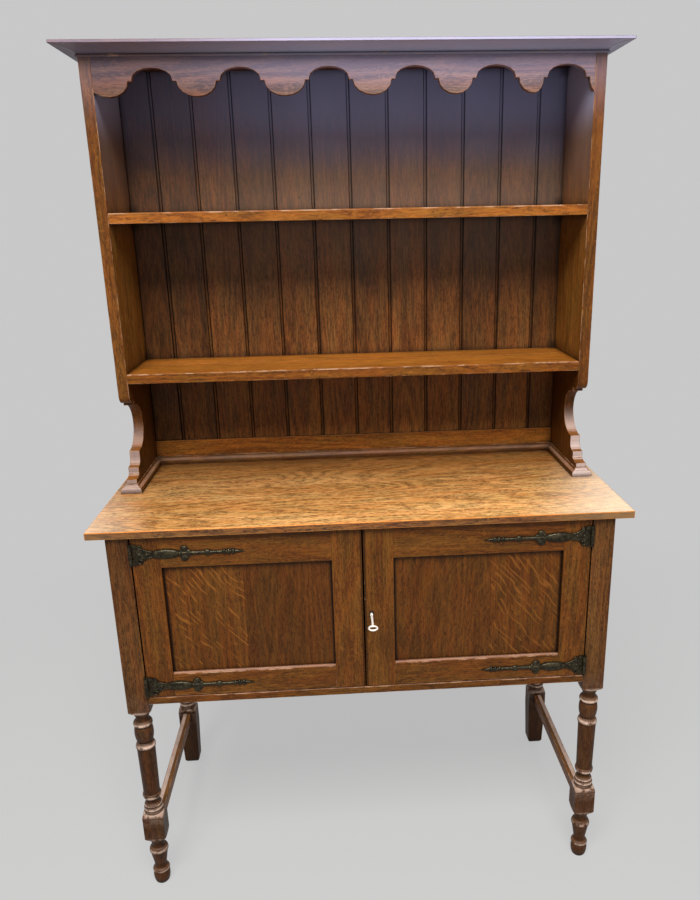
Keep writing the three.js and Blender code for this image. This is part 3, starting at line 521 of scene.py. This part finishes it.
def grain_axis(name):
    if "stretcher" in name or name in LENGTHWISE:
        return "y"
    return "z" if named(name, UPRIGHT) else "x"


def slot_of(name):
    for part in record["subparts"]:
        if part["node"] == name:
            return part["material_slot"]
    return "oak"


def shades_of(tones, factor):
    return [shade_of(tone, factor) for tone in tones]


def panel_opening(name):
    """Sides and top of the frame opening that a door panel shows through."""
    door = name.split("_")[0]
    hinge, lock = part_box(f"{door}_door_hinge_stile"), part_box(f"{door}_door_lock_stile")
    left, right = sorted((hinge, lock), key=lambda box: box[0][0])
    return left[1][0], right[0][0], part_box(f"{door}_door_top_rail")[0][2]


def oak_settings(name, slot, seed, low, high):
    """A piece's tones, and its settings for oak()."""
    tones = TONES[slot]
    middle = (low[0] + high[0]) / 2
    # Every piece gets painted light on its faces that look up
    settings = {"fleck": 0.25 if slot == "oak" else 0.0, "gloss": 0.47, "light_above": 0.45}
    if "cornice" in name:
        settings["hazes"] = CORNICE_HAZES
        # painted shade: the cornice darker towards its left end
        settings["tone_runs"] = [("X", -0.585, 0.10, (0.62, 0.60, 0.60), SAME)]
    elif name == "valance":
        # the valance: painted shade towards the left and bluish painted haze towards the right
        tones = shades_of(TONES["hazy_oak"], 0.56)
        settings |= {"pores": (60.0, 520.0, 0.52, 0.14), "streak_size": (14.0, 460.0), "speckle": 1.05,
                     "tone_runs": [("X", -0.45, 0.20, (0.62, 0.56, 0.54), (1.06, 1.10, 1.22))],
                     "hazes": VALANCE_HAZES}
    elif "rack_side" in name:
        settings["hazes"] = LEFT_SIDE_HAZES if middle < 0 else RIGHT_SIDE_HAZES
        settings["inner"] = (-math.copysign(1.0, middle), (0.85, 0.85, 0.85), (1.95, 2.40, 3.60))
    elif "stretcher" in name:
        # painted light on the stretchers' tops from outside on, and painted shade on the other faces of the
        # right one
        tones = shades_of(TONES["leg_oak"], 2.1)
        settings |= {"light_above": 0.9, "light_above_tone": STRETCHER_TOP_LIGHT, "side_shade": 1.0 if middle < 0 else 0.85,
                     "pale_from": abs(middle) - 0.001}
    elif "shelf" in name:
        settings |= {"pores": (95.0, 300.0, 0.60, 0.10), "streak_size": (44.0, 270.0)}
    elif "bottom_rail" in name:
        settings |= LIT_TOP
    elif "foot_moulding" in name or name == "back_rail":
        settings |= LIT_TOP_MOULDING
    elif "lock_stile" in name:
        settings["meeting"] = (MEETING_X, math.copysign(1.0, middle))
        if middle > 0:
            settings["keyhole"] = KEYHOLE
    elif slot == "board_oak":
        # painted light: boards are lighter towards a place right of the middle and darker towards the rack
        # sides as painted shade, and differ a little from each other
        tones = shades_of(tones, 1.26 - 0.50 * ((middle - 0.07) / 0.5) ** 2 + 0.12 * math.sin(2.4 * seed))
        settings["hazes"] = BOARD_HAZES
        # painted light on the boards below the lower shelf
        settings["tone_runs"] = [("Z", 1.10, 1.22, (1.28, 1.26, 1.05), SAME)]
    elif slot == "top_oak":
        # painted light and shade on the worktop: front lit, back and left shaded by the rack, edge faces
        # darker, ends with painted glare
        settings |= {"gloss": 0.34, "light_above": 0.10, "side_shade": 0.28, "specular": 0.4, "speckle": 1.25,
                     "rings": (1.2, 7.0, 150.0, 0.36), "pores": (100.0, 260.0, 0.60, 0.14),
                     "streak_size": (44.0, 270.0), "end_glare": (0.46, 0.72, 0.60),
                     "tone_runs": [("Y", low[1], high[1], (1.48, 1.96, 3.00), (0.40, 0.38, 0.33)),
                                   ("X", low[0], 0.2, (0.84, 0.82, 0.82), SAME)]}
    elif slot == "panel_oak":
        settings |= {"boards": PANEL_BOARDS[name], "opening": panel_opening(name)}
    if "rack_side" in name or name in ("foot_moulding_left", "foot_moulding_right"):
        settings["sheen"] = 0.30 if middle < 0 else 0.56
    return shades_of(tones, BRIGHTER.get(name, 1.0)), settings


def arris_settings(name, slot, low, tones, settings):
    """The tones of a piece's arrises, and their settings for oak()."""
    hazes = settings.get("hazes", ())
    if slot == "board_oak":
        return shades_of(tones, 0.28), {"light_above": 0.0, "hazes": hazes}
    if not named(name, RUBBED_EDGES):
        return (tones[1], tones[1], tones[2]), {"worn": 0.1, "speckle": 0.8}
    in_cornice = "cornice" in name
    dulled = 0.42 if in_cornice else 0.55
    edge = {"worn": 0.2 if in_cornice else 0.6, "grime_and_shade": 0.5, "speckle": 0.6,
            "hazes": [(start, full, part, shade_of(tone, dulled)) for start, full, part, tone in hazes]}
    if in_cornice:
        edge["tone_runs"] = settings["tone_runs"]
    elif "shelf" in name:
        edge["worn_to"] = low[1] + 0.006
    elif "bottom" in name:
        edge |= LIT_TOP
    return tones, edge


def round_arrises(piece, width):
    """Rounds a CAD node's arrises a little; its flat faces are merged first."""
    merge = piece.modifiers.new("weld", "WELD")
    merge.merge_threshold = 0.00002
    flat = piece.modifiers.new("flat", "DECIMATE")
    flat.decimate_type = "DISSOLVE"
    flat.angle_limit = math.radians(0.5)
    edge = piece.modifiers.new("arris", "BEVEL")
    edge.width = width
    edge.segments = 2
    edge.limit_method = "ANGLE"
    edge.angle_limit = math.radians(32.0)
    edge.material = 1


def dress(name):
    slot = slot_of(name)
    piece = nodes[name]
    seed = seeds[name]
    materials = piece.data.materials
    materials.clear()
    if slot == "iron":
        materials.append(iron(f"iron_{name}", seed * 0.37))
        return
    if slot == "steel":
        materials.append(steel(f"steel_{name}"))
        return
    axis = grain_axis(name)
    low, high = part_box(name)
    tones, settings = oak_settings(name, slot, seed, low, high)
    materials.append(oak(f"oak_{name}", axis, seed, tones, **settings))
    edge_tones, edge_settings = arris_settings(name, slot, low, tones, settings)
    materials.append(oak(f"arris_{name}", axis, seed, edge_tones, **edge_settings))
    round_arrises(piece, WIDE_ARRIS if named(name, WIDE_EDGES) else ARRIS)


for node_name in sorted(nodes):
    if not node_name.endswith(("leg_left", "leg_right")):
        dress(node_name)


# Mesh helpers
def solid_object(name, verts, faces, material, sharp_angle, layers=None):
    """A smooth mesh with edges sharper than an angle kept crisp; layers are values for its points."""
    mesh = bpy.data.meshes.new(name)
    mesh.from_pydata(verts, [], faces)
    for layer, values in (layers or {}).items():
        attribute = mesh.attributes.new(layer, "FLOAT", "POINT")
        attribute.data.foreach_set("value", values)
    work = bmesh.new()
    work.from_mesh(mesh)
    bmesh.ops.recalc_face_normals(work, faces=work.faces)
    for face in work.faces:
        face.smooth = True
    limit = math.radians(sharp_angle)
    for edge in work.edges:
        if len(edge.link_faces) == 2 and edge.calc_face_angle() > limit:
            edge.smooth = False
    work.to_mesh(mesh)
    work.free()
    mesh.materials.append(material)
    piece = bpy.data.objects.new(name, mesh)
    bpy.context.scene.collection.objects.link(piece)
    return piece


def ring_faces(base, rows, width):
    """Faces of a skin through rows of points that close on themselves, and its two ends."""
    faces = []
    for row in range(rows - 1):
        low, high = base + row * width, base + (row + 1) * width
        for c in range(width):
            d = (c + 1) % width
            faces.append((low + c, low + d, high + d, high + c))
    last = base + (rows - 1) * width
    faces.append(tuple(base + c for c in range(width)))
    faces.append(tuple(last + c for c in reversed(range(width))))
    return faces


class Forms:
    """Gathers rounded forms into one mesh. Points are in metres in the shared frame."""

    def __init__(self):
        self.verts = []
        self.faces = []

    def skin(self, rows):
        self.faces += ring_faces(len(self.verts), len(rows), len(rows[0]))
        for row in rows:
            self.verts.extend(row)

    def dome(self, centre, reach, rings=10, around=28):
        """Half ellipsoid that stands out towards -Y from a face; reach gives its half sizes."""
        rows = []
        for ring in range(rings):
            angle = math.pi / 2 * ring / rings
            flat, out = math.cos(angle), math.sin(angle)
            rows.append([(centre[0] + reach[0] * flat * math.cos(turn), centre[1] - reach[1] * out,
                          centre[2] + reach[2] * flat * math.sin(turn)) for turn in turns(around)])
        self.skin(rows)

    def tube(self, path, radii, around=12, squash=1.0):
        """Round bar along a path in a plane parallel to XZ; squash flattens it along Y."""
        rows = []
        for index, (point, radius) in enumerate(zip(path, radii)):
            before = path[max(0, index - 1)]
            after = path[min(len(path) - 1, index + 1)]
            run = Vector((after[0] - before[0], 0.0, after[2] - before[2])).normalized()
            side = Vector((-run.z, 0.0, run.x)) * radius
            front = Vector((0.0, -1.0, 0.0)) * radius * squash
            rows.append([tuple(Vector(point) + side * math.cos(turn) + front * math.sin(turn))
                         for turn in turns(around)])
        self.skin(rows)


def turns(around):
    return [2 * math.pi * k / around for k in range(around)]


# Turned legs: the CAD's outline with smooth curves, square where the post and block are.
# Lengths are in metres; CORE and FOOT_END are radii as shares of half the post's width.
POST_HALF = 0.024
BLOCK_LOW, BLOCK_HIGH, BACK_BLOCK_HIGH, POST_LOW, LEG_TOP = 0.131, 0.203, 0.178, 0.474, 0.899
BACK_TAPER_TOP = 0.120
BACK_EDGE_WEAR = 0.010
SHOULDER = 0.009
CORE = 0.88
FOOT_END = 0.58
PAST_CORNER = 0.04
NEAR = 0.001
LEG_SIDES = 96
SQUARENESS = 26.0
# Forms from the bottom up: form, height as a share of the turned length, and radii at its middle and
# its end as shares of half the post's width
FOOT_FORMS = [
    ("swell", 0.24, 0.79, 0.70), ("ring", 0.08, 0.82, 0.64), ("neck", 0.06, 0.55, 0.56),
    ("taper", 0.30, 0.83, 0.83), ("ring", 0.11, 0.89, 0.66), ("neck", 0.11, 0.60, 0.68),
    ("flare", 0.10, 0.88, 0.88),
]
SHAFT_FORMS = [
    ("flare", 0.026, 0.72, 0.72), ("ring", 0.038, 0.90, 0.70), ("ring", 0.030, 0.82, 0.66),
    ("neck", 0.046, 0.56, 0.66), ("ring", 0.054, 0.87, 0.77), ("taper", 0.456, 0.85, 0.85),
    ("ring", 0.056, 0.90, 0.64), ("swell", 0.154, 0.88, 0.72), ("ring", 0.052, 0.89, 0.66),
    ("neck", 0.050, 0.60, 0.70), ("flare", 0.038, 0.88, 0.88),
]
FORM_STEPS = {"ring": 10, "swell": 14, "neck": 8, "flare": 6, "taper": 8}


def turned_profile(forms, low, high, start):
    """(radius, height, wear) up the leg; wear is high on the crests that feet and hands rub."""
    points = [(start, low, 0.3)]
    height = low
    for form, rise_share, middle, end in forms:
        rise = rise_share * (high - low)
        first = points[-1][0]
        steps = FORM_STEPS[form]
        for step in range(1, steps + 1):
            part = step / steps
            hump = math.sin(math.pi * part)
            if form == "taper":
                radius, wear = first + (end * POST_HALF - first) * part, 0.0
            elif form == "flare":
                radius, wear = first + (end * POST_HALF - first) * part * part, 0.25 * part
            else:
                radius = first + (end * POST_HALF - first) * part
                radius += (middle * POST_HALF - (first + end * POST_HALF) / 2) * math.sqrt(hump)
                wear = {"ring": hump ** 3.5, "swell": 0.02 * hump, "neck": 0.0}[form]
            points.append((radius, height + rise * part, wear))
        height += rise
    return points


def shoulder(low, high, rising):
    """Where a turned core meets the square: radius grows from the core to past the corner."""
    inner, outer = CORE * POST_HALF, POST_HALF * math.sqrt(2.0)
    steps = 8
    points = []
    for step in range(steps + 1):
        part = step / steps if rising else 1.0 - step / steps
        radius = inner + (outer - inner) * math.sin(part * math.pi / 2)
        points.append((radius, low + (high - low) * step / steps, 0.75 * (1.0 - part)))
    return points


def leg_profile(in_front):
    """(radius, height, wear) up a leg: turned under its front block, or square down to the floor."""
    if in_front:
        high = BLOCK_HIGH
        points = turned_profile(FOOT_FORMS, 0.0, BLOCK_LOW, FOOT_END * POST_HALF)
        points += shoulder(BLOCK_LOW, BLOCK_LOW + SHOULDER, True)
        middle = (BLOCK_LOW + high) / 2
        points += [(PAST_CORNER, BLOCK_LOW + SHOULDER + NEAR, 0.05), (PAST_CORNER, middle, 0.0)]
    else:
        high = BACK_BLOCK_HIGH
        points = [(PAST_CORNER, BACK_TAPER_TOP * (k / 24) ** 2, 0.0) for k in range(25)]
    points.append((PAST_CORNER, high - SHOULDER - NEAR, 0.15))
    points += shoulder(high - SHOULDER, high, False)
    points += turned_profile(SHAFT_FORMS, high, POST_LOW, CORE * POST_HALF)[1:]
    points += shoulder(POST_LOW, POST_LOW + SHOULDER, True)
    points.append((PAST_CORNER, POST_LOW + SHOULDER + NEAR, 0.05))
    above = LEG_TOP - POST_LOW - SHOULDER
    points += [(PAST_CORNER, POST_LOW + SHOULDER + above * k / 8, 0.0) for k in range(1, 9)]
    return points


def square_reach(angle, half):
    """How far a square with slightly rounded corners reaches at an angle."""
    span = abs(math.cos(angle)) ** SQUARENESS + abs(math.sin(angle)) ** SQUARENESS
    return half / span ** (1.0 / SQUARENESS)


def half_width(z, in_front):
    """Half the square's width; a back block narrows towards the floor, where its edges are worn round."""
    if in_front or z > BACK_TAPER_TOP:
        return POST_HALF
    narrowing = 0.17 * (1.0 - z / BACK_TAPER_TOP)
    rounding = 0.22 * max(0.0, 1.0 - z / BACK_EDGE_WEAR) ** 2
    return POST_HALF * (1.0 - narrowing - rounding)


def make_leg(name):
    low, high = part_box(name)
    x, y = (low[0] + high[0]) / 2, (low[1] + high[1]) / 2
    in_front = "front" in name
    profile = leg_profile(in_front)
    verts, wear = [], []
    for radius, z, rub in profile:
        half = half_width(z, in_front)
        for angle in turns(LEG_SIDES):
            reach = min(radius, square_reach(angle, half))
            verts.append((x + reach * math.cos(angle), y + reach * math.sin(angle), z))
            wear.append(rub)
    upper = 1.04 if x < 0 else 1.18
    above = (upper, upper * 0.98, upper * 0.90)
    # The legs get painted light on their faces that look up
    material = oak(f"oak_{name}", "z", seeds[name], TONES["leg_oak"], fleck=0.2, rubbed="wear", light_above=0.4,
                   light_above_tone=srgb(150, 122, 104), tone_runs=[("Z", 0.44, 0.60, (0.60, 0.56, 0.52), above)])
    faces = ring_faces(0, len(profile), LEG_SIDES)
    leg = solid_object(f"turned_{name}", verts, faces, material, 27.0, {"wear": wear})
    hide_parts(name)
    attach(leg, "carcase")


for leg_name in ("front_leg_left", "front_leg_right", "back_leg_left", "back_leg_right"):
    make_leg(leg_name)


# Cast relief of the strap hinges: boss, beads, lobes, curls, edge bars and screws
DOOR_FACE = -0.21755
STRAP_PLATE = 0.0024
HINGE_X = 0.48475
# Domes: (distance from the hinge's axis, height over the strap's middle, how deep it is set, half sizes)
FAN_DOMES = [
    (0.0712, 0.0, 0.0004, (0.0285, 0.0042, 0.0095)),
    (0.1105, 0.0085, 0.0004, (0.0078, 0.0024, 0.0078)),
    (0.1105, -0.0085, 0.0004, (0.0078, 0.0024, 0.0078)),
    (0.1175, 0.0, 0.0004, (0.0078, 0.0024, 0.0078)),
    (0.1035, 0.0, 0.0004, (0.0035, 0.0030, 0.0100)),
]
BEADS = [
    (0.1572, 0.0, 0.0012, (0.0080, 0.0044, 0.0068)),
    (0.1919, 0.0, 0.0012, (0.0042, 0.0044, 0.0058)),
    (0.2012, 0.0, 0.0012, (0.0046, 0.0044, 0.0066)),
    (0.2105, 0.0, 0.0012, (0.0052, 0.0044, 0.0060)),
]
EDGE_BARS = ((0.0072, 0.0016), (0.0112, 0.0012))
SCREWS = (0.0175, 0.0330)


def make_strap_relief(name, side, body):
    low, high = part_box(name)
    level = (low[2] + high[2]) / 2
    forms = Forms()

    def at(distance, height, depth=0.0):
        return (side * (HINGE_X - distance), DOOR_FACE - STRAP_PLATE - depth, level + height)

    # the fan and its lobes, the bar that carries the beads, the beads, and the pointed tip
    for distance, height, sunk, reach in FAN_DOMES:
        forms.dome(at(distance, height, -sunk), reach)
    forms.tube([at(0.100 + 0.118 * k / 24, 0.0, -0.0010) for k in range(25)],
               [0.0040 - 0.0012 * k / 24 for k in range(25)], squash=0.9)
    for distance, height, sunk, reach in BEADS:
        forms.dome(at(distance, height, -sunk), reach)
    forms.tube([at(0.214 + 0.020 * k / 8, 0.0, -0.0012) for k in range(9)],
               [0.0034 * (1.0 - k / 8) + 0.0003 for k in range(9)], squash=0.8)
    # bars down the door's edge, one curl above and one below, ribs along the fan's flanks
    for distance, radius in EDGE_BARS:
        forms.tube([at(distance, -0.021 + 0.042 * k / 6) for k in range(7)], [radius] * 7, around=10)
    for sign in (-1, 1):
        curl = []
        for k in range(30):
            turn = math.radians(205 - 15.5 * k)
            reach = 0.0058 * (1.0 - 0.62 * k / 29)
            curl.append(at(0.0196 + reach * math.cos(turn), sign * (0.0150 + reach * math.sin(turn)), 0.0002))
        forms.tube(curl, [0.0014 - 0.0004 * k / 29 for k in range(30)], around=8)
        rib = []
        for k in range(15):
            drop = 0.0105 * math.sin(math.pi / 2 * k / 14)
            rib.append(at(0.018 + 0.026 * k / 14, sign * (0.0165 - drop)))
        forms.tube(rib, [0.0013] * 15, around=8)
    for distance in SCREWS:
        forms.dome(at(distance, 0.0, -0.0002), (0.0034, 0.0022, 0.0034), 6, 20)
    material = iron(f"iron_relief_{name}", level * 3.0)
    relief = solid_object(f"relief_{name}", forms.verts, forms.faces, material, 50.0)
    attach(relief, body)


for strap_label, strap_side in (("left", -1), ("right", 1)):
    for strap_level in ("top", "bottom"):
        make_strap_relief(f"{strap_label}_{strap_level}_hinge_strap", strap_side, f"{strap_label}_door")


# Floor, background and lamps
FLOOR_HALF = 14.0
FLOOR_GREY = (0.53, 0.53, 0.53, 1.0)


def make_floor():
    """A grey floor that takes shadows, and that turns into the background's grey further out."""
    corners = [(-FLOOR_HALF, -FLOOR_HALF, 0), (FLOOR_HALF, -FLOOR_HALF, 0), (FLOOR_HALF, FLOOR_HALF, 0),
               (-FLOOR_HALF, FLOOR_HALF, 0)]
    mesh = bpy.data.meshes.new("floor")
    mesh.from_pydata(corners, [], [(0, 1, 2, 3)])
    floor = bpy.data.objects.new("floor", mesh)
    bpy.context.scene.collection.objects.link(floor)
    t = Tree("pale_floor")
    away = t.node("ShaderNodeVectorMath", operation="LENGTH")
    t.link(t.coords, away.inputs[0])
    far = t.step(away.outputs["Value"], 0.9, 2.6, 0.78, 1.0)
    diffuse = t.node("ShaderNodeBsdfDiffuse")
    diffuse.inputs["Color"].default_value = FLOOR_GREY
    glow = t.node("ShaderNodeEmission")
    glow.inputs["Color"].default_value = BACKGROUND
    glow.inputs["Strength"].default_value = 1.0
    path = t.node("ShaderNodeLightPath")
    direct = t.math("MAXIMUM", path.outputs["Is Camera Ray"], path.outputs["Is Glossy Ray"])
    direct = t.math("MAXIMUM", direct, path.outputs["Is Transmission Ray"])
    seen = t.product(far, direct)
    blend = t.node("ShaderNodeMixShader")
    t.link(seen, blend.inputs[0])
    t.link(diffuse.outputs[0], blend.inputs[1])
    t.link(glow.outputs[0], blend.inputs[2])
    t.link(blend.outputs[0], t.out.inputs["Surface"])
    mesh.materials.append(t.material)


def make_world():
    """Soft light from all round; the camera and mirrors see the background's grey instead."""
    world = bpy.data.worlds.new("studio")
    world.use_nodes = True
    tree = world.node_tree
    tree.nodes.clear()
    out = tree.nodes.new("ShaderNodeOutputWorld")
    light = tree.nodes.new("ShaderNodeBackground")
    light.inputs["Color"].default_value = (0.97, 0.98, 1.0, 1.0)
    light.inputs["Strength"].default_value = 0.40
    shown = tree.nodes.new("ShaderNodeBackground")
    shown.inputs["Color"].default_value = BACKGROUND
    shown.inputs["Strength"].default_value = 1.0
    path = tree.nodes.new("ShaderNodeLightPath")
    either = path.outputs["Is Camera Ray"]
    for ray in ("Is Glossy Ray", "Is Transmission Ray"):
        most = tree.nodes.new("ShaderNodeMath")
        most.operation = "MAXIMUM"
        tree.links.new(either, most.inputs[0])
        tree.links.new(path.outputs[ray], most.inputs[1])
        either = most.outputs[0]
    blend = tree.nodes.new("ShaderNodeMixShader")
    tree.links.new(either, blend.inputs[0])
    tree.links.new(light.outputs[0], blend.inputs[1])
    tree.links.new(shown.outputs[0], blend.inputs[2])
    tree.links.new(blend.outputs[0], out.inputs["Surface"])
    bpy.context.scene.world = world


def make_lamp(name, place, target, size, power, color):
    data = bpy.data.lights.new(name, "AREA")
    data.shape = "RECTANGLE"
    data.size, data.size_y = size
    data.energy = power
    data.color = color
    lamp = bpy.data.objects.new(name, data)
    bpy.context.scene.collection.objects.link(lamp)
    lamp.location = place
    aim = Vector(target) - Vector(place)
    lamp.rotation_euler = aim.to_track_quat("-Z", "Y").to_euler()


make_floor()
make_world()
make_lamp("sky", (-0.3, -2.3, 3.9), (0.0, 0.0, 0.9), (2.6, 1.6), 265.0, (1.0, 0.98, 0.95))
make_lamp("front", (0.6, -4.2, 1.9), (0.0, 0.0, 0.8), (2.6, 2.2), 16.0, (1.0, 0.97, 0.93))

bpy.context.scene.view_settings.view_transform = "Standard"
